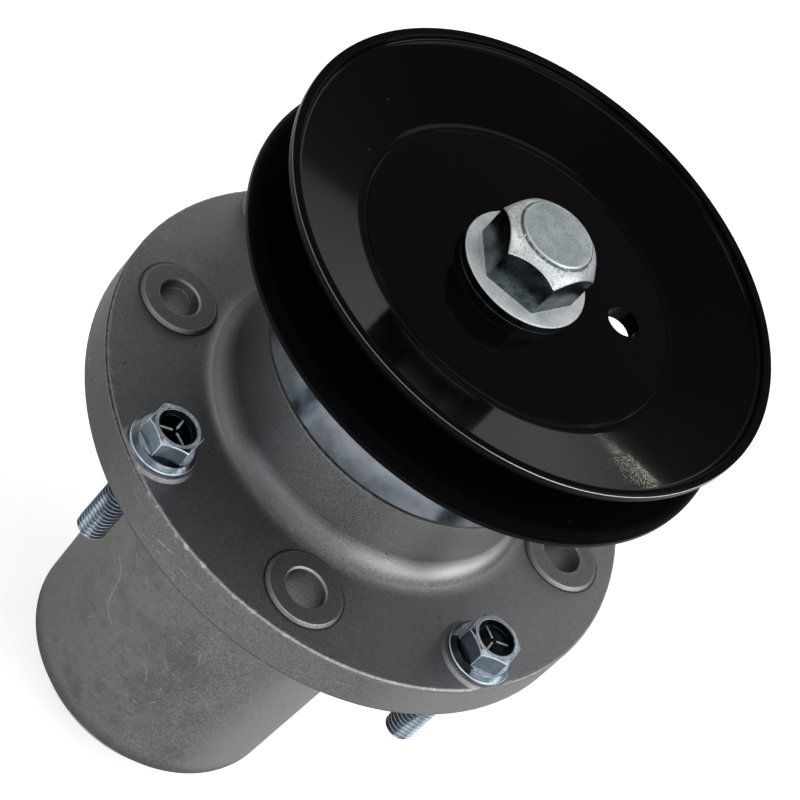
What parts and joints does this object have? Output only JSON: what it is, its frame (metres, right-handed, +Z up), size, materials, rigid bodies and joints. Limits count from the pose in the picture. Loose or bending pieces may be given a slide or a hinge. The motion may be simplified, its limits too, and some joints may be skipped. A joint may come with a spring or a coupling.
{
  "type": "mower deck spindle",
  "caption": "Cast aluminium flanged housing with a shaft on ball bearings, a pressed V-belt pulley bolted on top and a tapped blade seat below.",
  "frame": {"origin": "centre of the flange's underside, the face that seats on the mower deck", "axes": "+Z up the shaft towards the pulley, +X through one of the four open flange holes"},
  "size_m": [0.1484, 0.1484, 0.2183],
  "materials": {
    "cast_housing": "as cast, fine grain, lightly marked",
    "zinc_plate": "bright zinc plate with a blue passivate",
    "black_paint": "gloss black powder coat",
    "turned_steel": "turned, lightly oiled",
    "bearing_steel": "ground and polished",
    "cage_plastic": "moulded, natural",
    "seal_rubber": "moulded, matt",
    "spring_steel": "phosphated, dark"
  },
  "bodies": {
    "housing": {"spindle_housing": "cast_housing", "deck_bolt_1": "zinc_plate", "deck_bolt_2": "zinc_plate", "deck_bolt_3": "zinc_plate", "deck_bolt_4": "zinc_plate", "upper_bearing_outer_ring": "bearing_steel", "upper_bearing_top_seal": "seal_rubber", "upper_bearing_bottom_seal": "seal_rubber", "lower_bearing_outer_ring": "bearing_steel", "lower_bearing_top_seal": "seal_rubber", "lower_bearing_bottom_seal": "seal_rubber", "upper_retaining_ring": "spring_steel", "lower_retaining_ring": "spring_steel"},
    "spindle": {"spindle_shaft": "turned_steel", "upper_bearing_inner_ring": "bearing_steel", "lower_bearing_inner_ring": "bearing_steel", "inner_spacer_tube": "turned_steel", "upper_spacer": "turned_steel", "lower_spacer": "turned_steel", "upper_dust_cup": "zinc_plate", "lower_dust_cup": "zinc_plate", "pulley_hub": "black_paint", "pulley_key": "turned_steel", "pulley_upper_half": "black_paint", "pulley_lower_half": "black_paint", "pulley_washer": "zinc_plate", "pulley_bolt": "zinc_plate"},
    "upper_rolling_set": {"upper_bearing_balls": "bearing_steel", "upper_bearing_cage": "cage_plastic"},
    "lower_rolling_set": {"lower_bearing_balls": "bearing_steel", "lower_bearing_cage": "cage_plastic"}
  },
  "joints": [
    {"name": "spindle_spin", "type": "hinge", "parent": "housing", "child": "spindle", "pos_m": [0, 0, 0], "axis": [0, 0, 1], "continuous": true},
    {"name": "upper_cage_spin", "type": "hinge", "parent": "housing", "child": "upper_rolling_set", "pos_m": [0, 0, 0.027], "axis": [0, 0, 1], "continuous": true},
    {"name": "lower_cage_spin", "type": "hinge", "parent": "housing", "child": "lower_rolling_set", "pos_m": [0, 0, -0.0924], "axis": [0, 0, 1], "continuous": true}
  ],
  "couplings": [
    {"joint": "upper_cage_spin", "follows": "spindle_spin", "ratio": 0.3969},
    {"joint": "lower_cage_spin", "follows": "spindle_spin", "ratio": 0.3969}
  ]
}
